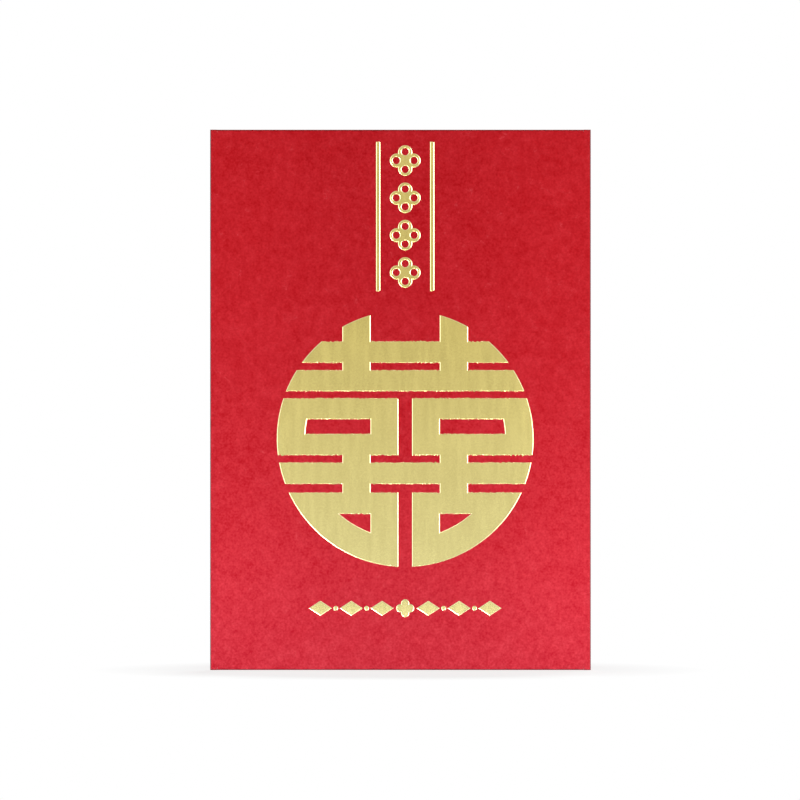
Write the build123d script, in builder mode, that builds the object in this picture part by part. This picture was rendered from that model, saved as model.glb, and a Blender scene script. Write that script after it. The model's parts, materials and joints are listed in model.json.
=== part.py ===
"""Red card envelope with pressed gold foil, standing upright with its front facing -Y (millimetres)."""

import os

from build123d import *

os.makedirs("parts", exist_ok=True)

# Envelope and its card
width = 81.0
height = 115.0
card = 0.35
pocket_depth = 0.8
glue_film = 0.1
fold_round = 0.3

# Closing flap, folded down over the mouth at the back
flap_length = 28.0
flap_inset = 1.5
flap_taper = 10.5
flap_corner = 6.0
crease_relief = 0.1

# Bottom flap, glued up over the back panel
bottom_flap_length = 15.0
bottom_flap_inset = 1.5
bottom_flap_taper = 4.0
bottom_flap_corner = 2.5

# Back panel, and the side tab glued to its inner face
mouth_drop = 1.5
back_clearance = 0.3
tab_width = 12.0
tab_inset = 2.0
tab_taper = 5.0
tab_corner = 1.5

# Glue lines
glue_width = 6.0
glue_inset = 4.0

# Pressed foil, a little right of the middle as it was stamped
recess_depth = 0.08
foil_thickness = 0.05
foil_shift = 1.0
overrun = 0.1

# Round double-joy medallion, in shares of its radius
medallion_radius = 27.3
medallion_rise_share = 0.4282
ring_share = 0.78
stem_inner_share = 0.27
stem_outer_share = 0.489
slot_share = 0.054
top_row_shares = ((0.592, 0.758), (0.37, 0.534))
base_row_shares = ((-0.129, 0.315), (-0.353, -0.186), (-1.0, -0.42))
window_row_shares = ((0.037, 0.152), (-1.0, -0.586))

# Two upright rules above the medallion, with a column of blossoms between them
rule_margin = 2.6
rule_gap = 4.1
rule_width = 0.85
rule_spacing = 11.5
blossom_count = 4
blossom_share = 0.41
petal_count = 4
petal_reach_share = 0.54
petal_share = 0.46
eye_reach_share = 0.58
eye_share = 0.24

# Divider below the medallion: one small blossom between lozenges and dots
divider_length = 41.0
divider_height = 3.8
divider_rise_share = 0.6
lozenge_places_share = (0.24, 0.56, 0.88)
lozenge_length_share = 0.12
lozenge_height_share = 0.42
dot_places_share = (0.40, 0.72)
dot_share = 0.13

# Depths of the layers, counted back from the front face
back_inner = card + pocket_depth
back_outer = back_inner + card
total_depth = back_outer + glue_film + card
tab_outer = back_inner - glue_film
front_y = -total_depth / 2

# Heights of the stamped ornaments
medallion_level = height * medallion_rise_share
rule_top = height - rule_margin
rule_bottom = medallion_level + medallion_radius + rule_gap
rule_length = rule_top - rule_bottom
divider_level = (medallion_level - medallion_radius) * divider_rise_share


def finish(piece, name):
    """Label a finished piece and write it to its own file."""
    piece.part.label = name
    export_step(piece.part, f"parts/{name}.step")


def back_plane(x, depth, z, crease_dir):
    """Plane facing the back, with its x axis along a crease and its y axis away from it."""
    return Plane(origin=(x, front_y + depth, z), x_dir=crease_dir, z_dir=(0, 1, 0))


def foil_plane(x, z):
    """Plane facing the front, on the floor of the pressed recesses."""
    return Plane(origin=(x, front_y + recess_depth, z), x_dir=(1, 0, 0), z_dir=(0, -1, 0))


def fold_section(origin, along, depth):
    """Section of a square fold: a strip of card with rounded outer edges and mitred ends."""
    plane = Plane(origin=(origin[0], front_y, origin[1]), x_dir=(0, 1, 0), z_dir=along)
    with BuildSketch(plane) as section:
        with BuildLine():
            front_edge = CenterArc((fold_round, -fold_round), fold_round, 135, -45)
            back_edge = CenterArc((depth - fold_round, -fold_round), fold_round, 90, -45)
            Line(front_edge @ 1, back_edge @ 0)
            Polyline(back_edge @ 1, (depth - card, -card), (card, -card), front_edge @ 0)
        make_face()
    return section.sketch


def flap_outline(plane, crease_length, free_length, reach, corner):
    """Outline of a flap from its crease out to a shorter free edge with round corners."""
    with BuildSketch(plane) as outline:
        with BuildLine():
            Polyline(
                (-crease_length / 2, 0),
                (crease_length / 2, 0),
                (free_length / 2, reach),
                (-free_length / 2, reach),
                close=True,
            )
        make_face()
        fillet(outline.vertices().group_by(Axis.Y)[-1], radius=corner)
    return outline.sketch


def rows(row_shares):
    """Full-width bars of the medallion, one for each pair of bottom and top shares."""
    for bottom_share, top_share in row_shares:
        with Locations((0, medallion_radius * (bottom_share + top_share) / 2)):
            Rectangle(2 * medallion_radius, medallion_radius * (top_share - bottom_share))


def stems(bottom_share, top_share):
    """The two uprights that tie the bars of the medallion together."""
    middle = medallion_radius * (stem_inner_share + stem_outer_share) / 2
    level = medallion_radius * (bottom_share + top_share) / 2
    with Locations((-middle, level), (middle, level)):
        Rectangle(
            medallion_radius * (stem_outer_share - stem_inner_share),
            medallion_radius * (top_share - bottom_share),
        )


def blossom(plane, radius, eyes):
    """Blossom of round petals, each with an open eye where eyes is true."""
    with BuildSketch(plane) as outline:
        Circle(radius * petal_reach_share)
        with PolarLocations(radius * petal_reach_share, petal_count):
            Circle(radius * petal_share)
        if eyes:
            with PolarLocations(radius * eye_reach_share, petal_count):
                Circle(radius * eye_share, mode=Mode.SUBTRACT)
    return outline.sketch


# Folds, each from the front panel round to the panel behind it
flap_crease = width - 2 * flap_inset
with BuildPart() as top_fold:
    extrude(fold_section((-flap_crease / 2, height), (1, 0, 0), total_depth), amount=flap_crease)
finish(top_fold, "top_fold")

bottom_crease = width - 2 * bottom_flap_inset
with BuildPart() as bottom_fold:
    extrude(fold_section((bottom_crease / 2, 0), (-1, 0, 0), total_depth), amount=bottom_crease)
finish(bottom_fold, "bottom_fold")

with BuildPart() as right_fold:
    extrude(fold_section((width / 2, height), (0, 0, -1), back_outer), amount=height)
finish(right_fold, "right_fold")

with BuildPart() as left_fold:
    extrude(fold_section((-width / 2, 0), (0, 0, 1), tab_outer), amount=height)
finish(left_fold, "left_fold")

# Flaps and tab
flap_plane = back_plane(0, total_depth, height, (1, 0, 0))
with BuildPart() as closing_flap:
    extrude(
        flap_outline(flap_plane, flap_crease, flap_crease - 2 * flap_taper, flap_length, flap_corner),
        amount=-card,
    )
    fillet(closing_flap.edges().sort_by_distance(flap_plane.origin)[0], radius=fold_round)
    add(top_fold.part, mode=Mode.SUBTRACT)
finish(closing_flap, "closing_flap")

bottom_free = bottom_crease - 2 * bottom_flap_taper
bottom_plane = back_plane(0, total_depth, 0, (-1, 0, 0))
with BuildPart() as bottom_flap:
    extrude(
        flap_outline(bottom_plane, bottom_crease, bottom_free, bottom_flap_length, bottom_flap_corner),
        amount=-card,
    )
    fillet(bottom_flap.edges().sort_by_distance(bottom_plane.origin)[0], radius=fold_round)
    add(bottom_fold.part, mode=Mode.SUBTRACT)
finish(bottom_flap, "bottom_flap")

tab_crease = height - 2 * tab_inset
tab_free = tab_crease - 2 * tab_taper
tab_plane = back_plane(-width / 2, tab_outer, height / 2, (0, 0, 1))
with BuildPart() as side_tab:
    extrude(flap_outline(tab_plane, tab_crease, tab_free, tab_width, tab_corner), amount=-card)
    fillet(side_tab.edges().sort_by_distance(tab_plane.origin)[0], radius=fold_round)
    add(left_fold.part, mode=Mode.SUBTRACT)
finish(side_tab, "side_tab")

# Back panel, from the right fold to a free edge over the side tab
back_bottom = card + back_clearance
back_top = height - mouth_drop
back_edge = back_plane(width / 2, back_outer, (back_bottom + back_top) / 2, (0, 0, -1))
with BuildPart() as back_panel:
    with BuildSketch(back_edge):
        Rectangle(back_top - back_bottom, width - back_clearance, align=(Align.CENTER, Align.MIN))
    extrude(amount=-card)
    fillet(back_panel.edges().sort_by_distance(back_edge.origin)[0], radius=fold_round)
    add(right_fold.part, mode=Mode.SUBTRACT)
finish(back_panel, "back_panel")

# Glue lines, between the side tab and the back panel and under the bottom flap
with BuildPart() as side_glue:
    with BuildSketch(back_plane(-width / 2 + tab_width / 2, back_inner, height / 2, (0, 0, 1))):
        Rectangle(tab_free - 2 * glue_inset, glue_width)
    extrude(amount=-glue_film)
finish(side_glue, "side_glue")

with BuildPart() as bottom_glue:
    with BuildSketch(back_plane(0, back_outer + glue_film, bottom_flap_length / 2, (1, 0, 0))):
        Rectangle(bottom_free - 2 * glue_inset, glue_width)
    extrude(amount=-glue_film)
finish(bottom_glue, "bottom_glue")

# Medallion: bars and uprights cut to a circle, in two islands
medallion_plane = foil_plane(foil_shift, medallion_level)
with BuildSketch(medallion_plane) as medallion_top:
    rows(top_row_shares)
    stems(top_row_shares[-1][0], 1)
    Circle(medallion_radius, mode=Mode.INTERSECT)

with BuildSketch(medallion_plane) as medallion_windows:
    rows(window_row_shares)
    Circle(medallion_radius * ring_share, mode=Mode.INTERSECT)
    Rectangle(2 * medallion_radius * stem_inner_share, 2 * medallion_radius, mode=Mode.SUBTRACT)

box_row_shares = (base_row_shares[0], base_row_shares[-1])
with BuildSketch(medallion_plane) as medallion_slots:
    rows(box_row_shares)
    Rectangle(2 * medallion_radius * slot_share, 2 * medallion_radius, mode=Mode.INTERSECT)

with BuildSketch(medallion_plane) as medallion_base:
    rows(base_row_shares)
    stems(base_row_shares[-1][-1], base_row_shares[0][0])
    Circle(medallion_radius, mode=Mode.INTERSECT)
    add(medallion_windows.sketch_local, mode=Mode.SUBTRACT)
    add(medallion_slots.sketch_local, mode=Mode.SUBTRACT)

foils = {"medallion_top_foil": medallion_top.sketch, "medallion_base_foil": medallion_base.sketch}

# Rules and the column of blossoms between them
for side, name in ((-1, "left_rule_foil"), (1, "right_rule_foil")):
    rule_x = foil_shift + side * rule_spacing / 2
    with BuildSketch(foil_plane(rule_x, (rule_bottom + rule_top) / 2)) as rule:
        Rectangle(rule_width, rule_length)
    foils[name] = rule.sketch

blossom_pitch = rule_length / blossom_count
blossom_radius = min(blossom_pitch, rule_spacing - rule_width) * blossom_share
for number in range(blossom_count):
    place = foil_plane(foil_shift, rule_top - (number + 1 / 2) * blossom_pitch)
    foils[f"column_blossom_{number + 1}_foil"] = blossom(place, blossom_radius, eyes=True)

# Divider, the same to the left and right of its small blossom
divider_middle = foil_plane(foil_shift, divider_level)
foils["divider_blossom_foil"] = blossom(divider_middle, divider_height / 2, eyes=False)
for side, name in ((-1, "left"), (1, "right")):
    for number, place_share in enumerate(lozenge_places_share, start=1):
        place = foil_plane(foil_shift + side * place_share * divider_length / 2, divider_level)
        half_length = lozenge_length_share * divider_length / 2
        half_height = lozenge_height_share * divider_height
        with BuildSketch(place) as lozenge:
            with BuildLine():
                Polyline(
                    (-half_length, 0), (0, half_height), (half_length, 0), (0, -half_height), close=True
                )
            make_face()
        foils[f"divider_{name}_lozenge_{number}_foil"] = lozenge.sketch
    for number, place_share in enumerate(dot_places_share, start=1):
        place = foil_plane(foil_shift + side * place_share * divider_length / 2, divider_level)
        with BuildSketch(place) as dot:
            Circle(dot_share * divider_height)
        foils[f"divider_{name}_dot_{number}_foil"] = dot.sketch

for name, outline in foils.items():
    with BuildPart() as foil:
        extrude(outline, amount=foil_thickness)
    finish(foil, name)

# Front panel, mitred to its four folds, with a shallow recess under every piece of foil
with BuildPart() as front_panel:
    with BuildSketch(Plane(origin=(0, front_y, height / 2), x_dir=(1, 0, 0), z_dir=(0, -1, 0))):
        Rectangle(width, height)
    extrude(amount=-card)
    fillet(front_panel.faces().sort_by(Axis.Y)[0].edges(), radius=fold_round)
    for fold in (bottom_fold, left_fold, right_fold):
        add(fold.part, mode=Mode.SUBTRACT)
    extrude(
        fold_section((-flap_crease / 2 - crease_relief, height), (1, 0, 0), total_depth),
        amount=flap_crease + 2 * crease_relief,
        mode=Mode.SUBTRACT,
    )
    for outline in foils.values():
        extrude(outline, amount=recess_depth + overrun, mode=Mode.SUBTRACT)
finish(front_panel, "front_panel")
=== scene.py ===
"""Red gift envelope: folded dyed card with pressed gold foil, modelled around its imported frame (metres)."""

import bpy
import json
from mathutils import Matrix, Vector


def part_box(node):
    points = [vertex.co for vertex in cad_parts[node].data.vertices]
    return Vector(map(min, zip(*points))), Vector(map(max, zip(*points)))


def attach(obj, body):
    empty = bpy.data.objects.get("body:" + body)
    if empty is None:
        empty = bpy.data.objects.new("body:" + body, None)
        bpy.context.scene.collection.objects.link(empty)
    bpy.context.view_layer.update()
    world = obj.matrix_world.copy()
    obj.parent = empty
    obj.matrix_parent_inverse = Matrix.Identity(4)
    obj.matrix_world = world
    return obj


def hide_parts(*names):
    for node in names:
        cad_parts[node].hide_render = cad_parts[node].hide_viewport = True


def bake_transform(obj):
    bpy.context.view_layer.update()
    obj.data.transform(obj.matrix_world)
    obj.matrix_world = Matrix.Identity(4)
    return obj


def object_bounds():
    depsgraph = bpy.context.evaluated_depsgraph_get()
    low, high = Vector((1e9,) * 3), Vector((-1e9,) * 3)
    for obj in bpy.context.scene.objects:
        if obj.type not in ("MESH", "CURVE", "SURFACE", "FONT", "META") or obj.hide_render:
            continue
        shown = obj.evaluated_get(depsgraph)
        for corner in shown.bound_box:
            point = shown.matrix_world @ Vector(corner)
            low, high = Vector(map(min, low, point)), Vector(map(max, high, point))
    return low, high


bl_info = {
    "name": "Red Gift Envelope",
    "version": (1, 0, 0),
    "blender": (4, 5, 0),
    "location": "3D View > Sidebar > Envelope",
    "description": "Folds a red card gift envelope and presses gold foil ornaments into its front",
    "category": "Object",
}

import json
import math

import bmesh
import bpy
from bpy.props import FloatProperty, FloatVectorProperty, IntProperty, PointerProperty
from bpy.types import Operator, Panel, PropertyGroup
from mathutils import Vector
from mathutils.kdtree import KDTree

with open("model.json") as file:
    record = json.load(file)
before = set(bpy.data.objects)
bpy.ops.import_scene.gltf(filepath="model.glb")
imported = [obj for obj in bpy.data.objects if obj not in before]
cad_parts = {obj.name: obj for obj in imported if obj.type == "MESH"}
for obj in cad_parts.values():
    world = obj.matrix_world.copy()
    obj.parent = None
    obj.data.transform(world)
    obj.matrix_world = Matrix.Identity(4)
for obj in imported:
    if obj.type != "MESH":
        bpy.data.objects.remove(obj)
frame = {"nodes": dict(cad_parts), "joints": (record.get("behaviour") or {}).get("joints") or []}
cad_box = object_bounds()

MM = 0.001
NEAR = 0.01 * MM  # two places closer than this are the same place
WELD = 0.0005 * MM  # corner points closer than this are joined

# Places read from the frame: the envelope's box and the sheets behind its front
LOW, HIGH = cad_box
FRONT, REAR = LOW.y, HIGH.y
MIDDLE = (LOW.z + HIGH.z) / 2  # half-way up
BACK_LOW, BACK_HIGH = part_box("back_panel")
TAB_LOW, TAB_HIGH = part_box("side_tab")
FLAP_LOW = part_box("closing_flap")[0]
FLAP_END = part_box("top_fold")[1].x
BOTTOM_FLAP_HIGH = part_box("bottom_flap")[1]
BOTTOM_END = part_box("bottom_fold")[1].x
CREASES = {joint["name"]: Vector(joint["pos_m"]) for joint in frame["joints"]}
CARD_NODES = (
    "front_panel", "left_fold", "right_fold", "back_panel", "side_tab", "bottom_fold", "bottom_flap",
)
FOIL_NODES = sorted(node for node in frame["nodes"] if node.endswith("_foil"))
GLUE_NODES = ("side_glue", "bottom_glue")

# Folds and flaps of the card
CORNER_STEPS = 12  # strips of mesh round the corner of a flap
SMOOTH_BELOW = math.radians(35)  # faces that meet at a smaller angle are shaded as one
BEND_REACH = 0.72  # half the length of the bend at a crease, as a share of the fold's radius
LEAST_LEFT = 0.95  # share of the card that is left at least when the recesses are cut

# Rim of the pressed foil, from its edge down to its foot
RIM_DROP = 0.004 * MM  # how far the edge lies below the face of the card
SHOULDER = ((0.5, 0.55), (0.5, 0.45))  # shares of the rim's width and depth, from the edge down
EDGE_FREEDOM = (1.0, 0.55, 0.1)  # how freely the edge, the shoulder and the foot wander
WANDER_RISE = 0.4  # how fast the wandering grows with the distance from a slanting edge
SLANT = 0.12  # an edge slants where it is off level and off upright by more than this share of its length
FLAT = 0.9999  # a face is flat where the depth part of its normal is no less than this
FRONT_FACING = -0.9  # a face looks to the front where that part is below this


def linear(colour):
    """Turn an sRGB hex colour into the linear red, green and blue that Blender works in."""
    shares = [int(colour[place:place + 2], 16) / 255 for place in (1, 3, 5)]
    return tuple(s / 12.92 if s <= 0.04045 else ((s + 0.055) / 1.055) ** 2.4 for s in shares)


class EnvelopeCard(PropertyGroup):
    """Sizes and colours of the folded card."""

    thickness: FloatProperty(
        name="Thickness", description="Thickness of the card",
        default=BACK_HIGH.y - BACK_LOW.y, unit="LENGTH", precision=5)
    fold_round: FloatProperty(
        name="Fold round", description="Outer radius of a creased fold",
        default=0.42 * MM, unit="LENGTH", precision=5)
    fold_steps: IntProperty(
        name="Fold steps", description="Strips of mesh round a fold", default=6, min=2)
    score: FloatProperty(
        name="Score", description="Width of the card on each side of a crease that bends with it",
        default=0.6 * MM, unit="LENGTH", precision=5)
    crease_relief: FloatProperty(
        name="Crease relief", description="Width of the slit at each end of a crease",
        default=0.015 * MM, unit="LENGTH", precision=6)
    flap_taper: FloatProperty(
        name="Flap taper", description="How far each side of the closing flap leans in",
        default=10.5 * MM, unit="LENGTH", precision=5)
    flap_corner: FloatProperty(
        name="Flap corner", description="Corner radius of the closing flap",
        default=6.0 * MM, unit="LENGTH", precision=5)
    bottom_taper: FloatProperty(
        name="Bottom taper", description="How far each side of the bottom flap leans in",
        default=4.0 * MM, unit="LENGTH", precision=5)
    bottom_corner: FloatProperty(
        name="Bottom corner", description="Corner radius of the bottom flap",
        default=2.5 * MM, unit="LENGTH", precision=5)
    tab_taper: FloatProperty(
        name="Tab taper", description="How far each end of the side tab leans in",
        default=5.0 * MM, unit="LENGTH", precision=5)
    tab_corner: FloatProperty(
        name="Tab corner", description="Corner radius of the side tab",
        default=1.5 * MM, unit="LENGTH", precision=5)
    red: FloatVectorProperty(
        name="Red", description="Red of the dyed card at its top",
        subtype="COLOR", size=3, default=linear("#c30419"))
    # Painted light: the paler red at the bottom stands in for the brighter light that falls there
    lower_red_painted_light: FloatVectorProperty(
        name="Lower red", description="Slightly paler red at its bottom",
        subtype="COLOR", size=3, default=linear("#cd3343"))
    fibre: FloatVectorProperty(
        name="Fibre", description="Red of the fibres that took less dye",
        subtype="COLOR", size=3, default=linear("#d34d55"))


class EnvelopeFoil(PropertyGroup):
    """Sizes and colours of the pressed foil."""

    press: FloatProperty(
        name="Press", description="Depth of the foil below the face of the card",
        default=0.034 * MM, unit="LENGTH", precision=6)
    recess: FloatProperty(
        name="Recess", description="Depth of the card's recess under the foil",
        default=0.08 * MM, unit="LENGTH", precision=6)
    film: FloatProperty(
        name="Film", description="Thickness of the foil",
        default=0.015 * MM, unit="LENGTH", precision=6)
    rim: FloatProperty(
        name="Rim", description="Width of the slope from the card's face down to the foil",
        default=0.15 * MM, unit="LENGTH", precision=6)
    edge_step: FloatProperty(
        name="Edge step", description="Longest straight piece of a ragged foil edge",
        default=0.14 * MM, unit="LENGTH", precision=6)
    ragged: FloatProperty(
        name="Ragged", description="How far the stamped level edges wander",
        default=0.65 * MM, unit="LENGTH", precision=6)
    ragged_size: FloatProperty(
        name="Ragged size", description="Length of one tooth of a ragged edge",
        default=0.20 * MM, unit="LENGTH", precision=6)
    gold: FloatVectorProperty(
        name="Gold", description="Colour of the foil in the upper half",
        subtype="COLOR", size=3, default=linear("#c4b369"))
    # Painted light: the paler gold near the bottom stands in for the brighter light that falls there
    lower_gold_painted_light: FloatVectorProperty(
        name="Lower gold", description="Slightly paler colour of the foil near the bottom",
        subtype="COLOR", size=3, default=linear("#c5bb7f"))
    # Painted highlight: the paler metal stands in for the lamps' glint on the sloping rims
    rim_painted_highlight: FloatVectorProperty(
        name="Rim gold", description="Paler metal where the lacquer is stretched thin over the rim",
        subtype="COLOR", size=3, default=linear("#f6f1d2"))


class EnvelopeStage(PropertyGroup):
    """Camera and floor."""

    view_width: FloatProperty(
        name="View width", description="Width of the picture at the envelope's front",
        default=170.24 * MM, unit="LENGTH", precision=4)
    distance: FloatProperty(
        name="Distance", description="Camera to the envelope's front",
        default=1.2, unit="LENGTH")
    side_step: FloatProperty(
        name="Side step", description="How far the camera stands to the right of the middle",
        default=-0.1 * MM, unit="LENGTH", precision=5)
    drop: FloatProperty(
        name="Drop", description="How far the camera stands below the envelope's middle",
        default=0.03 * MM, unit="LENGTH", precision=5)
    floor_size: FloatProperty(
        name="Floor size", description="Side of the floor", default=12.0, unit="LENGTH")
    floor: FloatVectorProperty(
        name="Floor", description="Colour of the floor",
        subtype="COLOR", size=3, default=linear("#ececec"))


# ---------------------------------------------------------------- modelling by hand

def put_down():
    """Leave edit mode and deselect every object."""
    if bpy.context.object and bpy.context.object.mode != "OBJECT":
        bpy.ops.object.mode_set(mode="OBJECT")
    bpy.ops.object.select_all(action="DESELECT")


def take_up(piece):
    """Select one piece alone."""
    put_down()
    piece.select_set(True)
    bpy.context.view_layer.objects.active = piece


def open_mesh(piece):
    """Open a piece in edit mode with nothing selected."""
    take_up(piece)
    bpy.ops.object.mode_set(mode="EDIT")
    bpy.ops.mesh.select_all(action="DESELECT")


def pick(piece, kind, test):
    """Select the corner points, edges or faces of the open piece that pass a test."""
    bpy.ops.mesh.select_mode(type=kind)
    bpy.ops.mesh.select_all(action="DESELECT")
    mesh = bmesh.from_edit_mesh(piece.data)
    mesh.normal_update()
    found = 0
    for element in {"VERT": mesh.verts, "EDGE": mesh.edges, "FACE": mesh.faces}[kind]:
        if test(element):
            element.select_set(True)
            found += 1
    mesh.select_flush_mode()
    bmesh.update_edit_mesh(piece.data)
    return found


def must_pick(piece, kind, test, what):
    """Select as pick does, and stop where nothing is found."""
    if not pick(piece, kind, test):
        raise RuntimeError(f"{piece.name}: found no {what}")


def lies(element, **places):
    """Whether every corner of an element lies at a place, or between two, on the named axes."""
    for axis, place in places.items():
        low, high = place if isinstance(place, tuple) else (place, place)
        for corner in element.verts:
            if not low - NEAR <= getattr(corner.co, axis) <= high + NEAR:
                return False
    return True


def lay_sheet(name, low, high, level, upright):
    """Add a plane from low to high: upright in x and z at a depth, or flat in x and y at a height."""
    put_down()
    middle = [(a + b) / 2 for a, b in zip(low, high)]
    place = (middle[0], level, middle[1]) if upright else (middle[0], middle[1], level)
    turn = (math.pi / 2, 0, 0) if upright else (0, 0, 0)
    bpy.ops.mesh.primitive_plane_add(size=1, location=place, rotation=turn)
    sheet = bpy.context.object
    sheet.name = sheet.data.name = name
    sheet.scale = (high[0] - low[0], high[1] - low[1], 1)
    bpy.ops.object.transform_apply(location=True, rotation=True, scale=True)
    return sheet


def score_line(axis, place):
    """Divide the open sheet along a line square to an axis."""
    point, normal = Vector(), Vector()
    setattr(point, axis, place)
    setattr(normal, axis, 1)
    bpy.ops.mesh.select_all(action="SELECT")
    bpy.ops.mesh.bisect(plane_co=point, plane_no=normal, threshold=WELD)


def pull_out(move):
    """Extrude the selected edges by a move."""
    bpy.ops.mesh.extrude_edges_indiv()
    bpy.ops.transform.translate(value=move)


def cut_out(piece, patches, what):
    """Delete the faces of the open piece that lie in any of the patches."""
    must_pick(piece, "FACE", lambda f: any(lies(f, **patch) for patch in patches), what)
    bpy.ops.mesh.delete(type="FACE")


def round_corners(piece, corners, radius, lean):
    """Round the free corners of a flap whose sides lean in by an angle."""
    must_pick(piece, "VERT", lambda v: any((v.co - c).length < NEAR for c in corners), "flap corner")
    reach = radius / math.tan((math.pi / 2 + lean) / 2)
    bpy.ops.mesh.bevel(offset=reach, segments=CORNER_STEPS, affect="VERTICES", clamp_overlap=False)


def round_folds(piece, test, card):
    """Round the fold edges that pass a test, each between two faces."""
    must_pick(piece, "EDGE", lambda e: len(e.link_faces) == 2 and test(e), "fold")
    bpy.ops.mesh.bevel(
        offset=card.fold_round, segments=card.fold_steps, profile=0.5, affect="EDGES", clamp_overlap=False)


def finish_modifier(piece, kind, **settings):
    """Add a modifier with its settings and apply it."""
    take_up(piece)
    modifier = piece.modifiers.new(kind.lower(), kind)
    for name, value in settings.items():
        setattr(modifier, name, value)
    bpy.ops.object.modifier_apply(modifier=modifier.name)


def thicken(piece, thickness):
    """Give a folded skin the card's thickness, on its inner side."""
    finish_modifier(piece, "SOLIDIFY", thickness=thickness, offset=-1, use_even_offset=True)


def volume(piece):
    """Volume of a closed piece."""
    solid = bmesh.new()
    solid.from_mesh(piece.data)
    inside = solid.calc_volume()
    solid.free()
    return inside


def smooth_folds(piece):
    """Shade the rounded folds smoothly and keep the panels flat."""
    take_up(piece)
    bpy.ops.object.shade_smooth_by_angle(angle=SMOOTH_BELOW)
    finish_modifier(piece, "WEIGHTED_NORMAL", mode="FACE_AREA", weight=100, keep_sharp=True)


def dress(piece, material):
    """Give a piece one material."""
    piece.data.materials.clear()
    piece.data.materials.append(material)


# ---------------------------------------------------------------- materials

# Sizes of the patterns in the card, the foil and the glue. The grain of real pulp is about 0.05 mm: it is
# drawn at 0.4 mm to show in the picture
CLOUDS, MOTTLE, GRAIN, STRANDS = 7.0 * MM, 1.6 * MM, 0.40 * MM, 2.6 * MM
STREAKS = (1.5 * MM, 20 * MM, 9 * MM)  # along x, y and z
FOIL_TOOTH, FOIL_WAVES = 0.45 * MM, 5.0 * MM
BLOTS = 1.5 * MM

# Dye of the card
CLOUD_SHARE, MOTTLE_SHARE, GRAIN_SHARE = 0.25, 0.55, 0.65  # of each pattern in the dye
DYE_RANGE = 0.3  # the dye runs this far below and above its mean
DEEP_DYE = (0.84, 0.30, 0.45)  # factor on the red where the dye is strongest
PALE_DYE = (0.08, 0.018, 0.019)  # added to the red where it is weakest
FIBRE_WIDTH = 0.012  # how far the strands' noise strays from its mean across a fibre
FIBRE_MOTTLE = (0.52, 0.66)  # mottle at which a fibre comes out, and is full
FIBRE_SHARE = 0.45  # of the fibre's own colour, at most
PALE_SHOULDER_TURN = (0.05, 0.45)  # sideways part of the normal where a shoulder starts to get paler, and is fully paler
PALE_SHOULDER_SHARE = 0.35  # of the fibre's colour there

# Painted shade: a darker line along the folds' front shoulders, where they turn away from the light
PAINTED_FOLD_SHADE = (0.35, 0.35, 0.35)  # factor on the red
LINE_TURN = (0.6, 0.8)  # sideways part of the normal where the line starts on a side fold, and is full
LINE_INSIDE = (0.25 * MM, 0.05 * MM)  # where it does on the top and bottom folds, in from the edge
LINE_PAST = (0.01 * MM, 0.05 * MM)  # where it fades again, out from the edge
LINE_DEPTH = 0.30 * MM  # how far behind the front it starts to fade

# Gold of the foil
GOLD_PAINTED_LIGHT = (0.65, 0.17)  # shares of the height between which the gold gets paler, as painted light
STREAK_RANGE = (0.76, 1.24)  # of the streaks and the tooth together
FOIL_SHADE = (0.90, 0.89, 0.86)  # factor on the gold at the lower end of that range
GLOSS_RANGE, GLOSS = (0.3, 0.7), (0.19, 0.23)  # of the streaks alone, and the roughness that goes with it
RIM_TURN = (-0.998, -0.97)  # depth part of the normal where a rim starts, and on it
RIM_HIGHLIGHT_SHARE = 0.45  # share of the painted highlight on an upright rim
UPRIGHT_TURN = (0.04, 0.16)  # sideways part of the normal on a level rim, and on an upright one
LEVEL_HIGHLIGHT_SHARE = 0.3  # share of the upright rim's painted highlight on a level one
WAVE_HEIGHT = 6.0  # of the foil's waves, as a multiple of its tooth


def add_node(tree, kind, inputs=None, **settings):
    """Add a shader node with its settings, and set or link its sockets."""
    node = tree.nodes.new("ShaderNode" + kind)
    for name, value in settings.items():
        setattr(node, name, value)
    for name, value in (inputs or {}).items():
        if isinstance(value, bpy.types.NodeSocket):
            tree.links.new(value, node.inputs[name])
        else:
            node.inputs[name].default_value = value
    return node


def noise(tree, place, size, detail, **inputs):
    """A noise from nought to one, with lumps of a size."""
    return add_node(
        tree, "TexNoise", {"Vector": place, "Scale": 1 / size, "Detail": detail, **inputs}).outputs["Fac"]


def ramp(tree, value, start, end, low=0.0, high=1.0):
    """Go from low to high while a value goes from start to end, and no further."""
    return add_node(tree, "MapRange", {
        "Value": value, "From Min": start, "From Max": end, "To Min": low, "To Max": high}).outputs[0]


def work_out(tree, operation, *values):
    """The result of one sum."""
    return add_node(tree, "Math", dict(enumerate(values)), operation=operation).outputs[0]


def mix(tree, share, first, second, kind="MIX"):
    """Mix a share of the second colour into the first, or lay it on in another way."""
    first, second = (c if isinstance(c, bpy.types.NodeSocket) else (*c, 1) for c in (first, second))
    return add_node(
        tree, "Mix", {0: share, 6: first, 7: second}, data_type="RGBA", blend_type=kind).outputs[2]


def facing(tree):
    """The three parts of the direction in which the surface looks."""
    return add_node(tree, "SeparateXYZ", {0: add_node(tree, "NewGeometry").outputs["Normal"]}).outputs


def new_material(name):
    """An empty material with its output and the object's own coordinates."""
    material = bpy.data.materials.new(name)
    material.use_nodes = True
    tree = material.node_tree
    tree.nodes.clear()
    return material, tree, add_node(tree, "OutputMaterial"), add_node(tree, "TexCoord").outputs["Object"]


def seen_directly(tree):
    """One where the eye, a reflection or a look through glass meets the surface, and nought for its light."""
    rays = add_node(tree, "LightPath")
    seen = rays.outputs["Is Camera Ray"]
    for ray in ("Is Glossy Ray", "Is Transmission Ray"):
        seen = work_out(tree, "MAXIMUM", seen, rays.outputs[ray])
    return seen


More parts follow.
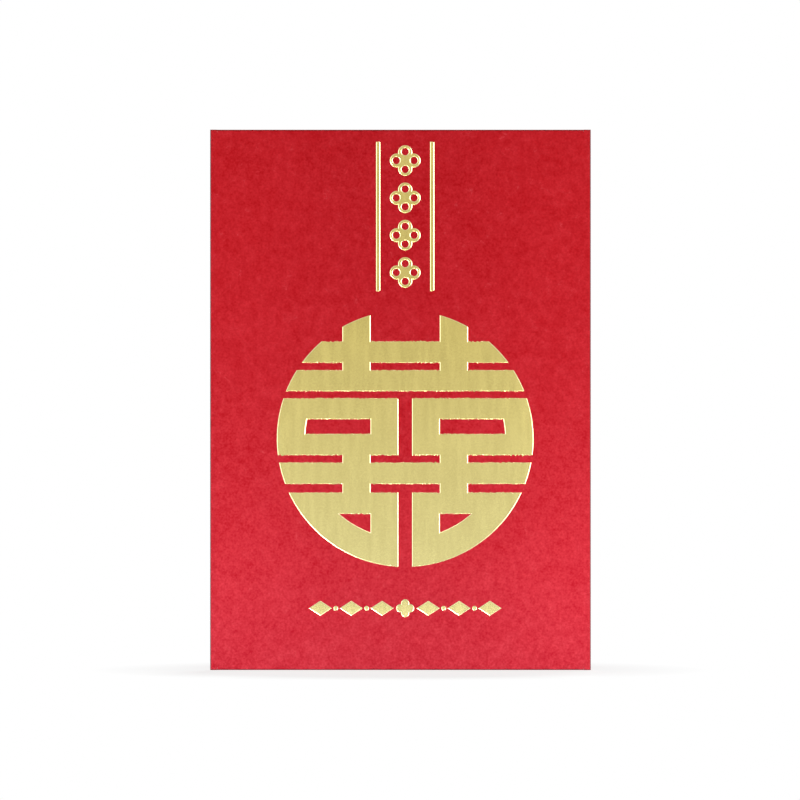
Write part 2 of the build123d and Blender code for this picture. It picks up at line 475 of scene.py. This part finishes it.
def dyed_card(card):
    """Dyed-through card, uncoated: matt red with cloudy dye, short pale fibres and a fine tooth, with painted
    light that makes it paler towards the bottom and painted shade along the front shoulders of its folds.
    """
    material, tree, output, place = new_material("dyed_card")
    clouds = noise(tree, place, CLOUDS, 2.0)
    mottle = noise(tree, place, MOTTLE, 2.0)
    grain = noise(tree, place, GRAIN, 1.0)
    dye = 0.0
    for pattern, share in ((clouds, CLOUD_SHARE), (mottle, MOTTLE_SHARE), (grain, GRAIN_SHARE)):
        dye = work_out(tree, "MULTIPLY_ADD", work_out(tree, "SUBTRACT", pattern, 0.5), share, dye)
    spot = add_node(tree, "SeparateXYZ", {0: place}).outputs
    # Painted light: the red gets paler towards the bottom, where more light falls
    painted_light_share = work_out(tree, "POWER", ramp(tree, spot["Z"], HIGH.z, LOW.z), 2.0)
    red = mix(tree, painted_light_share, card.red, card.lower_red_painted_light)
    # Less dye shows as a paler and whiter red, more dye as a deeper one
    deep = mix(tree, 1.0, red, DEEP_DYE, "MULTIPLY")
    pale = mix(tree, 1.0, red, PALE_DYE, "ADD")
    red = mix(tree, ramp(tree, dye, -DYE_RANGE, DYE_RANGE), deep, pale)
    # Fibres: thin ridges of a bent noise, broken up by the mottle
    strands = noise(tree, place, STRANDS, 1.0, Distortion=1.2)
    ridge = work_out(tree, "ABSOLUTE", work_out(tree, "SUBTRACT", strands, 0.5))
    ridge = ramp(tree, ridge, 0.0, FIBRE_WIDTH, 1.0, 0.0)
    fibres = work_out(tree, "MULTIPLY", ridge, ramp(tree, mottle, *FIBRE_MOTTLE, 0.0, FIBRE_SHARE))
    # The side folds: shoulders a little paler, and a painted shade line where they turn away from the light
    turned = work_out(tree, "ABSOLUTE", facing(tree)["X"])
    pale_shoulder = ramp(tree, turned, *PALE_SHOULDER_TURN, 0.0, PALE_SHOULDER_SHARE)
    pale_shoulder = work_out(tree, "MULTIPLY", pale_shoulder, ramp(tree, turned, *LINE_TURN, 1.0, 0.0))
    colour = mix(tree, work_out(tree, "MAXIMUM", fibres, pale_shoulder), red, card.fibre)
    side_painted_shade = ramp(tree, turned, *LINE_TURN)
    # The top and bottom folds get the same painted shade line, placed by height, so a flap turned away from
    # the top would be free of it
    level = work_out(tree, "ABSOLUTE", work_out(tree, "SUBTRACT", spot["Z"], MIDDLE))
    half = HIGH.z - MIDDLE
    inside = ramp(tree, level, *(half - reach for reach in LINE_INSIDE))
    past = ramp(tree, level, *(half + reach for reach in LINE_PAST), 1.0, 0.0)
    line = work_out(tree, "MAXIMUM", side_painted_shade, work_out(tree, "MULTIPLY", inside, past))
    # The painted shade lies on the front shoulder alone: behind it a fold is as red as the panels
    front = ramp(tree, spot["Y"], FRONT + LINE_DEPTH, FRONT + card.fold_round, 1.0, 0.0)
    colour = mix(tree, work_out(tree, "MULTIPLY", line, front), colour, PAINTED_FOLD_SHADE, "MULTIPLY")
    tooth = add_node(tree, "Bump", {"Strength": 0.25, "Distance": 0.03 * MM, "Height": grain})
    shader = add_node(tree, "BsdfPrincipled", {
        "Base Color": colour, "Roughness": 0.62, "IOR": 1.5, "Specular IOR Level": 0.07,
        "Normal": tooth.outputs[0]})
    tree.links.new(shader.outputs[0], output.inputs["Surface"])
    return material


def gold_foil(foil):
    """Hot-stamped aluminium foil, lacquered gold: satin metal with a fine tooth and faint upright streaks,
    with a painted highlight on its rims and painted light that makes it paler towards the bottom.
    """
    material, tree, output, place = new_material("hot_stamped_gold_foil")
    stretched = add_node(tree, "Mapping", {"Vector": place, "Scale": [1 / size for size in STREAKS]})
    streaks = noise(tree, stretched.outputs[0], 1.0, 2.0)
    tooth = noise(tree, place, FOIL_TOOTH, 2.0)
    height = add_node(tree, "SeparateXYZ", {0: place}).outputs["Z"]
    # Painted light: the gold gets paler towards the bottom, where more light falls
    painted_light_share = ramp(tree, height, *(share * HIGH.z for share in GOLD_PAINTED_LIGHT))
    gold = mix(tree, painted_light_share, foil.gold, foil.lower_gold_painted_light)
    shade = mix(tree, 1.0, gold, FOIL_SHADE, "MULTIPLY")
    colour = mix(tree, ramp(tree, work_out(tree, "ADD", streaks, tooth), *STREAK_RANGE), shade, gold)
    # Painted highlight: the sloping rim gets paler metal, standing in for the lamps' glint on it, and the
    # upright rims, which catch the side lamps, get the most
    looks = facing(tree)
    thin = ramp(tree, looks["Y"], *RIM_TURN, 0.0, RIM_HIGHLIGHT_SHARE)
    across = ramp(tree, work_out(tree, "ABSOLUTE", looks["X"]), *UPRIGHT_TURN, LEVEL_HIGHLIGHT_SHARE, 1.0)
    colour = mix(tree, work_out(tree, "MULTIPLY", thin, across), colour, foil.rim_painted_highlight)
    relief = work_out(tree, "MULTIPLY_ADD", noise(tree, place, FOIL_WAVES, 1.0), WAVE_HEIGHT, tooth)
    bump = add_node(tree, "Bump", {"Strength": 0.3, "Distance": 0.006 * MM, "Height": relief})
    shader = add_node(tree, "BsdfPrincipled", {
        "Base Color": colour, "Metallic": 1.0, "Roughness": ramp(tree, streaks, *GLOSS_RANGE, *GLOSS),
        "Normal": bump.outputs[0]})
    tree.links.new(shader.outputs[0], output.inputs["Surface"])
    return material


def dried_glue():
    """Dried white glue: a cloudy, slightly yellow film with a soft gloss."""
    material, tree, output, place = new_material("dried_glue")
    blots = noise(tree, place, BLOTS, 3.0)
    colour = mix(tree, blots, linear("#d8d0b8"), linear("#efe9da"))
    bump = add_node(tree, "Bump", {"Strength": 0.3, "Distance": 0.02 * MM, "Height": blots})
    shader = add_node(tree, "BsdfPrincipled", {
        "Base Color": colour, "Roughness": 0.35, "IOR": 1.46, "Normal": bump.outputs[0]})
    tree.links.new(shader.outputs[0], output.inputs["Surface"])
    return material


# ---------------------------------------------------------------- pieces

class ENVELOPE_OT_press_foil(Operator):
    """Press each island of gold foil into a shallow tray with a sloping, slightly ragged rim"""

    bl_idname = "envelope.press_foil"
    bl_label = "Press Foil"

    def execute(self, context):
        foil = context.scene.envelope_foil
        material = gold_foil(foil)
        texture = bpy.data.textures.new("ragged_edge", "CLOUDS")
        texture.noise_scale = foil.ragged_size
        texture.noise_depth = 1
        for node in FOIL_NODES:
            piece = self.tray(node, foil, texture)
            dress(piece, material)
            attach(piece, "envelope")
            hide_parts(node)
        return {"FINISHED"}

    def tray(self, node, foil, texture):
        """Make one tray from the face of its node."""
        mesh = frame["nodes"][node].data.copy()
        piece = bpy.data.objects.new("pressed_" + node, mesh)
        mesh.name = piece.name
        bpy.context.scene.collection.objects.link(piece)
        open_mesh(piece)
        bpy.ops.mesh.select_all(action="SELECT")
        bpy.ops.mesh.remove_doubles(threshold=WELD)
        must_pick(piece, "FACE", lambda f: f.normal.y > FRONT_FACING, "side or back of the foil")
        bpy.ops.mesh.delete(type="FACE")
        bpy.ops.mesh.select_all(action="SELECT")
        low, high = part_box(node)
        bpy.ops.transform.translate(value=(0, FRONT + RIM_DROP - low.y, 0))
        bpy.ops.mesh.select_mode(type="FACE")
        bpy.ops.mesh.select_all(action="SELECT")
        # A steep upper slope and a gentle foot make the rounded shoulder of a pressed edge
        for width_share, depth_share in SHOULDER:
            bpy.ops.mesh.inset(
                thickness=foil.rim * width_share, depth=-foil.press * depth_share,
                use_boundary=True, use_even_offset=True)
        while pick(piece, "EDGE", lambda e: self.runs_along(e) and e.calc_length() > foil.edge_step):
            bpy.ops.mesh.subdivide(number_cuts=1)
        self.wander(piece, foil, texture)
        room = Vector((foil.ragged, foil.ragged, foil.ragged))
        for v in piece.data.vertices:
            if not all(a <= c <= b for a, c, b in zip(low - room, v.co, high + room)):
                raise RuntimeError(f"{piece.name}: the rim has left the foil's own outline")
        self.keep_outline(piece, node, foil)
        finish_modifier(piece, "SOLIDIFY", thickness=foil.film, offset=-1, use_even_offset=False)
        take_up(piece)
        bpy.ops.object.shade_flat()
        return piece

    def runs_along(self, edge):
        """Whether an edge of the tray runs level along its rim, from side to side."""
        run = edge.verts[1].co - edge.verts[0].co
        level = abs(run.y) < WELD and abs(run.z) < SLANT * run.length
        return level and any(abs(face.normal.y) < FLAT for face in edge.link_faces)

    def wander(self, piece, foil, texture):
        """Let the stamped edge stray up and down, less towards its foot and near slanting edges."""
        put_down()
        edge = piece.vertex_groups.new(name="edge")
        depth = 0.0
        slanting = self.slanting(piece.data)
        for (_, depth_share), weight in zip((*SHOULDER, (0, 0)), EDGE_FREEDOM):
            level = FRONT + RIM_DROP + depth
            for v in piece.data.vertices:
                if abs(v.co.y - level) < WELD:
                    away = slanting.find(v.co)[2] if slanting else 1.0
                    edge.add([v.index], weight * min(1.0, WANDER_RISE * away / foil.ragged), "REPLACE")
            depth += foil.press * depth_share
        finish_modifier(
            piece, "DISPLACE", texture=texture, texture_coords="LOCAL", direction="Z", mid_level=0.5,
            strength=foil.ragged, vertex_group="edge")
        piece.vertex_groups.clear()

    def slanting(self, mesh):
        """A tree of the rim's corner points on edges that run neither level nor upright."""
        found = set()
        rim = bmesh.new()
        rim.from_mesh(mesh)
        for edge in rim.edges:
            run = edge.verts[1].co - edge.verts[0].co
            if edge.is_boundary and min(abs(run.x), abs(run.z)) > SLANT * run.length:
                found.update(corner.co.copy().freeze() for corner in edge.verts)
        rim.free()
        if not found:
            return None
        tree = KDTree(len(found))
        for place, corner in enumerate(sorted(found, key=tuple)):
            tree.insert(corner, place)
        tree.balance()
        return tree

    def keep_outline(self, piece, node, foil):
        """Keep a block with the foil's outline, to cut its recess into the card."""
        block = bpy.data.objects.new("recess_" + node, piece.data.copy())
        bpy.context.scene.collection.objects.link(block)
        open_mesh(block)
        must_pick(block, "EDGE", lambda e: not e.is_boundary, "inner edge")
        bpy.ops.mesh.delete(type="EDGE")
        bpy.ops.mesh.select_all(action="SELECT")
        bpy.ops.mesh.fill(use_beauty=True)
        bpy.ops.mesh.select_all(action="SELECT")
        bpy.ops.transform.translate(value=(0, -foil.recess - RIM_DROP, 0))
        bpy.ops.mesh.extrude_region()
        bpy.ops.transform.translate(value=(0, 2 * foil.recess, 0))
        bpy.ops.mesh.select_all(action="SELECT")
        bpy.ops.mesh.normals_make_consistent(inside=False)
        put_down()


class ENVELOPE_OT_fold_card(Operator):
    """Fold the card round the pocket: front, side folds, back panel, side tab and bottom flap in one sheet"""

    bl_idname = "envelope.fold_card"
    bl_label = "Fold Card"

    def execute(self, context):
        card = context.scene.envelope_card
        material = dyed_card(card)
        piece = self.fold(card)
        self.press_recesses(piece)
        smooth_folds(piece)
        dress(piece, material)
        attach(piece, "envelope")
        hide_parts(*CARD_NODES)
        return {"FINISHED"}

    def fold(self, card):
        """Score and fold the sheet, round its folds and flap corners, and give it its thickness."""
        sheet = lay_sheet("folded_card", (LOW.x, LOW.z), (HIGH.x, HIGH.z), FRONT, upright=True)
        slit = card.crease_relief
        notch = FLAP_END + slit
        bottom_slit = (BOTTOM_END, BOTTOM_END + slit)
        seam = HIGH.z - card.score
        bottom_score = LOW.z + 2 * card.score
        open_mesh(sheet)
        for place in {notch, *bottom_slit}:
            score_line("x", place)
            score_line("x", -place)
        for low, high in ((BACK_LOW, BACK_HIGH), (TAB_LOW, TAB_HIGH)):
            for place in (low.z - slit, low.z, high.z, high.z + slit):
                score_line("z", place)
        score_line("z", bottom_score)
        score_line("z", seam)

        # Notch at the top, where the closing flap's own fold carries on
        cut_out(sheet, ({"x": (-notch, notch), "z": (seam, HIGH.z)},), "notch")

        # Bottom fold and flap, free of the corners beside them
        cut_out(sheet, ({"x": bottom_slit, "z": (LOW.z, bottom_score)},
                        {"x": (-bottom_slit[1], -bottom_slit[0]), "z": (LOW.z, bottom_score)}), "bottom slit")
        must_pick(sheet, "EDGE", lambda e: lies(e, x=(-BOTTOM_END, BOTTOM_END), z=LOW.z), "bottom edge")
        pull_out((0, REAR - FRONT, 0))
        pull_out((0, 0, BOTTOM_FLAP_HIGH.z - LOW.z))
        bpy.ops.transform.resize(
            value=(1 - card.bottom_taper / BOTTOM_END, 1, 1), center_override=(0, REAR, BOTTOM_FLAP_HIGH.z))

        # Side folds, then the back panel from the right one and the tab from the left one
        self.side(sheet, HIGH.x, BACK_LOW, BACK_HIGH, (BACK_LOW.x - HIGH.x, 0, 0), 0, card)
        self.side(sheet, LOW.x, TAB_LOW, TAB_HIGH, (TAB_HIGH.x - LOW.x, 0, 0), card.tab_taper, card)

        lines = (
            {"x": LOW.x, "y": FRONT}, {"x": HIGH.x, "y": FRONT},
            {"x": HIGH.x, "y": BACK_HIGH.y}, {"x": LOW.x, "y": TAB_HIGH.y},
            {"z": LOW.z, "y": FRONT, "x": (-BOTTOM_END, BOTTOM_END)}, {"z": LOW.z, "y": REAR},
        )
        round_folds(sheet, lambda e: any(lies(e, **line) for line in lines), card)
        lean = math.atan2(card.bottom_taper, BOTTOM_FLAP_HIGH.z - LOW.z)
        free = BOTTOM_END - card.bottom_taper
        corners = [Vector((x, REAR, BOTTOM_FLAP_HIGH.z)) for x in (-free, free)]
        round_corners(sheet, corners, card.bottom_corner, lean)
        lean = math.atan2(card.tab_taper, TAB_HIGH.x - LOW.x)
        ends = (TAB_LOW.z + card.tab_taper, TAB_HIGH.z - card.tab_taper)
        corners = [Vector((TAB_HIGH.x, TAB_HIGH.y, z)) for z in ends]
        round_corners(sheet, corners, card.tab_corner, lean)
        thicken(sheet, card.thickness)
        return sheet

    def side(self, sheet, x, low, high, reach, taper, card):
        """Fold one side back to a depth, then pull out its panel between two heights."""
        must_pick(sheet, "EDGE", lambda e: lies(e, x=x, y=FRONT), "side edge")
        depth = high.y - FRONT
        pull_out((0, depth - card.score, 0))
        pull_out((0, card.score, 0))
        strip, slit = (high.y - card.score, high.y), card.crease_relief
        cut_out(sheet, ({"x": x, "y": strip, "z": (low.z - slit, low.z)},
                        {"x": x, "y": strip, "z": (high.z, high.z + slit)}), "side slit")
        must_pick(sheet, "EDGE", lambda e: lies(e, x=x, y=high.y, z=(low.z, high.z)), "panel edge")
        pull_out(reach)
        if taper:
            middle, half = (low.z + high.z) / 2, (high.z - low.z) / 2
            bpy.ops.transform.resize(
                value=(1, 1, 1 - taper / half), center_override=(x + reach[0], high.y, middle))

    def press_recesses(self, sheet):
        """Cut a recess into the front under each tray of foil, with the tray's own ragged outline."""
        put_down()
        blocks = [bpy.data.objects["recess_" + node] for node in FOIL_NODES]
        for block in blocks:
            block.select_set(True)
        bpy.context.view_layer.objects.active = blocks[0]
        bpy.ops.object.join()
        cutter = bpy.context.object
        uncut = volume(sheet)
        finish_modifier(sheet, "BOOLEAN", operation="DIFFERENCE", solver="EXACT", object=cutter)
        if not LEAST_LEFT * uncut < volume(sheet) < uncut:
            raise RuntimeError(f"{sheet.name}: the recesses weren't cut")
        bpy.data.objects.remove(cutter)


class ENVELOPE_OT_fold_flap(Operator):
    """Fold the closing flap over the mouth, in two pieces that meet on the spine and have a crease each"""

    bl_idname = "envelope.fold_flap"
    bl_label = "Fold Flap"

    def execute(self, context):
        card = context.scene.envelope_card
        material = bpy.data.materials["dyed_card"]
        bend = Vector((0, 1, 1)).normalized() * card.fold_round * BEND_REACH

        spine = lay_sheet("flap_spine_card", (-FLAP_END, FRONT), (FLAP_END, 0), HIGH.z, upright=False)
        open_mesh(spine)
        must_pick(spine, "EDGE", lambda e: lies(e, y=FRONT), "front edge")
        pull_out((0, 0, -card.score))
        round_folds(spine, lambda e: lies(e, y=FRONT, z=HIGH.z), card)

        flap = lay_sheet("closing_flap_card", (-FLAP_END, 0), (FLAP_END, REAR), HIGH.z, upright=False)
        open_mesh(flap)
        must_pick(flap, "EDGE", lambda e: lies(e, y=REAR), "back edge")
        pull_out((0, 0, FLAP_LOW.z - HIGH.z))
        bpy.ops.transform.resize(
            value=(1 - card.flap_taper / FLAP_END, 1, 1), center_override=(0, REAR, FLAP_LOW.z))
        round_folds(flap, lambda e: lies(e, y=REAR, z=HIGH.z), card)
        lean = math.atan2(card.flap_taper, HIGH.z - FLAP_LOW.z)
        free = FLAP_END - card.flap_taper
        round_corners(flap, [Vector((x, REAR, FLAP_LOW.z)) for x in (-free, free)], card.flap_corner, lean)

        for piece, node in ((spine, "top_fold"), (flap, "closing_flap")):
            thicken(piece, card.thickness)
            smooth_folds(piece)
            dress(piece, material)
            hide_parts(node)
        crease = CREASES["fold_crease"]
        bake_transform(spine)
        crease, bend = CREASES["flap_crease"], Vector((0, bend.y, -bend.z))
        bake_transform(flap)
        return {"FINISHED"}


class ENVELOPE_OT_spread_glue(Operator):
    """Finish the two glue lines that hold the tab and the bottom flap"""

    bl_idname = "envelope.spread_glue"
    bl_label = "Spread Glue"

    def execute(self, context):
        material = dried_glue()
        for node in GLUE_NODES:
            dress(frame["nodes"][node], material)
        return {"FINISHED"}


# ---------------------------------------------------------------- stage

# Each lamp's name, place, the point it faces, its width and height, and its watts. The box and upper lamps
# light the whole front, the edge lamps its sides, the low and front lamps its lower half, and the back lamp
# the back
LAMPS = (
    ("left_box_lamp", (-0.27, -0.56, 0.10), (0, 0, MIDDLE), (0.18, 0.30), 1.08),
    ("right_box_lamp", (0.27, -0.56, 0.14), (0, 0, MIDDLE), (0.30, 0.40), 0.58),
    ("upper_lamp", (0.0, -0.54, 0.35), (0, 0, MIDDLE), (0.06, 0.08), 0.15),
    ("upper_right_lamp", (0.16, -0.56, 0.25), (0, 0, MIDDLE), (0.09, 0.08), 0.45),
    ("left_edge_lamp", (-0.038, -0.035, 0.065), (-0.038, 0, 0.065), (0.008, 0.13), 0.0054),
    ("right_edge_lamp", (0.038, -0.035, 0.065), (0.038, 0, 0.065), (0.008, 0.13), 0.0058),
    ("low_lamp", (0.0, -0.05, 0.0035), (0, 0, 0.008), (0.16, 0.005), 0.0090),
    ("low_left_lamp", (-0.075, -0.05, 0.004), (-0.03, 0, 0.01), (0.05, 0.006), 0.0060),
    ("low_right_lamp", (0.075, -0.05, 0.004), (0.03, 0, 0.01), (0.05, 0.006), 0.0070),
    ("front_lamp", (0.0, -0.35, 0.03), (0, 0, 0.03), (0.30, 0.05), 0.015),
    ("near_front_lamp", (0.0, -0.12, 0.012), (0, 0, 0.02), (0.20, 0.02), 0.003),
    ("back_lamp", (0.20, 0.42, 0.50), (0, 0, MIDDLE), (0.30, 0.20), 2.6),
)
FLOOR_BELOW = 0.02 * MM  # how far the floor lies under the envelope

# Close to the envelope the floor gives up part of its white, so that the shadow shows there
SHADOW_SHAPE = (0.8, 1.15, 1)  # factors on the distance along x, y and z
SHADOW_REACH = (0.036, 0.053)  # distances at which the full white starts to come back, and is back
SHADOW_WHITE = 0.80  # share of white nearer than that

SKY_LIGHT = (0.17, 0.04)  # strength of the soft light at the horizon and overhead
OVERHEAD = 0.8  # upward part of a direction that counts as overhead


class ENVELOPE_OT_set_stage(Operator):
    """Set the pale floor, the soft lamps, the white surroundings and the camera"""

    bl_idname = "envelope.set_stage"
    bl_label = "Set Stage"

    def execute(self, context):
        stage = context.scene.envelope_stage
        self.floor(stage)
        self.surroundings(context.scene)
        for lamp in LAMPS:
            self.lamp(*lamp)
        self.camera(context.scene, stage)
        context.scene.view_settings.view_transform = "Standard"
        return {"FINISHED"}

    def floor(self, stage):
        """A large pale floor that stays white to the eye and keeps a soft shadow."""
        put_down()
        bpy.ops.mesh.primitive_plane_add(size=stage.floor_size, location=(0, 0, LOW.z - FLOOR_BELOW))
        floor = bpy.context.object
        floor.name = floor.data.name = "floor"
        material, tree, output, place = new_material("pale_studio_floor")
        paint = add_node(tree, "BsdfDiffuse", {"Color": (*stage.floor, 1)})
        white = add_node(tree, "Emission", {"Color": (1, 1, 1, 1), "Strength": 1.0})
        near = add_node(tree, "VectorMath", {0: place, 1: SHADOW_SHAPE}, operation="MULTIPLY")
        reach = add_node(tree, "VectorMath", {0: near.outputs[0]}, operation="LENGTH").outputs["Value"]
        share = ramp(tree, reach, *SHADOW_REACH, SHADOW_WHITE, 1.0)
        share = work_out(tree, "MULTIPLY", seen_directly(tree), share)
        mixed = add_node(tree, "MixShader", {0: share, 1: paint.outputs[0], 2: white.outputs[0]})
        tree.links.new(mixed.outputs[0], output.inputs["Surface"])
        dress(floor, material)

    def surroundings(self, scene):
        """White surroundings to the eye and in the foil, and an even soft light on the card."""
        world = bpy.data.worlds.new("white_surroundings")
        world.use_nodes = True
        tree = world.node_tree
        tree.nodes.clear()
        output = add_node(tree, "OutputWorld")
        # Soft light from the horizon, and less of it from overhead
        sky = add_node(tree, "SeparateXYZ", {0: add_node(tree, "TexCoord").outputs["Generated"]})
        level = ramp(tree, sky.outputs["Z"], 0.0, OVERHEAD, *SKY_LIGHT)
        soft = add_node(tree, "Background", {"Color": (1, 1, 1, 1), "Strength": level})
        white = add_node(tree, "Background", {"Color": (1, 1, 1, 1), "Strength": 1.0})
        mixed = add_node(
            tree, "MixShader", {0: seen_directly(tree), 1: soft.outputs[0], 2: white.outputs[0]})
        tree.links.new(mixed.outputs[0], output.inputs["Surface"])
        scene.world = world

    def lamp(self, name, place, aim, size, power):
        """A soft rectangular lamp that the camera doesn't see."""
        light = bpy.data.lights.new(name, "AREA")
        light.shape = "RECTANGLE"
        light.size, light.size_y = size
        light.energy = power
        lamp = bpy.data.objects.new(name, light)
        lamp.location = place
        lamp.rotation_euler = (Vector(aim) - Vector(place)).to_track_quat("-Z", "Y").to_euler()
        lamp.visible_camera = False
        bpy.context.scene.collection.objects.link(lamp)

    def camera(self, scene, stage):
        """A long lens square to the front, framed for a square picture."""
        lens = bpy.data.cameras.new("camera")
        lens.sensor_width = 36.0
        lens.lens = lens.sensor_width * stage.distance / stage.view_width
        lens.clip_start, lens.clip_end = 0.01, 50.0
        camera = bpy.data.objects.new("camera", lens)
        camera.location = (stage.side_step, FRONT - stage.distance, MIDDLE - stage.drop)
        camera.rotation_euler = (math.pi / 2, 0, 0)
        scene.collection.objects.link(camera)
        scene.camera = camera


# ---------------------------------------------------------------- panel and registering

class ENVELOPE_PT_maker(Panel):
    """Steps and values of the envelope"""

    bl_idname = "ENVELOPE_PT_maker"
    bl_label = "Red Gift Envelope"
    bl_space_type = "VIEW_3D"
    bl_region_type = "UI"
    bl_category = "Envelope"

    def draw(self, context):
        for step in STEPS:
            self.layout.operator(step.bl_idname)
        for name, group in GROUPS.items():
            box = self.layout.box()
            for value in group.__annotations__:
                box.prop(getattr(context.scene, name), value)


STEPS = (
    ENVELOPE_OT_press_foil, ENVELOPE_OT_fold_card, ENVELOPE_OT_fold_flap, ENVELOPE_OT_spread_glue,
    ENVELOPE_OT_set_stage,
)
GROUPS = {"envelope_card": EnvelopeCard, "envelope_foil": EnvelopeFoil, "envelope_stage": EnvelopeStage}


def register():
    for group in (*GROUPS.values(), *STEPS, ENVELOPE_PT_maker):
        bpy.utils.register_class(group)
    for name, group in GROUPS.items():
        setattr(bpy.types.Scene, name, PointerProperty(type=group))


def unregister():
    for name in GROUPS:
        delattr(bpy.types.Scene, name)
    for group in reversed((*GROUPS.values(), *STEPS, ENVELOPE_PT_maker)):
        bpy.utils.unregister_class(group)


def main():
    register()
    bpy.ops.envelope.press_foil()
    bpy.ops.envelope.fold_card()
    bpy.ops.envelope.fold_flap()
    bpy.ops.envelope.spread_glue()
    bpy.ops.envelope.set_stage()


if __name__ == "__main__":
    main()
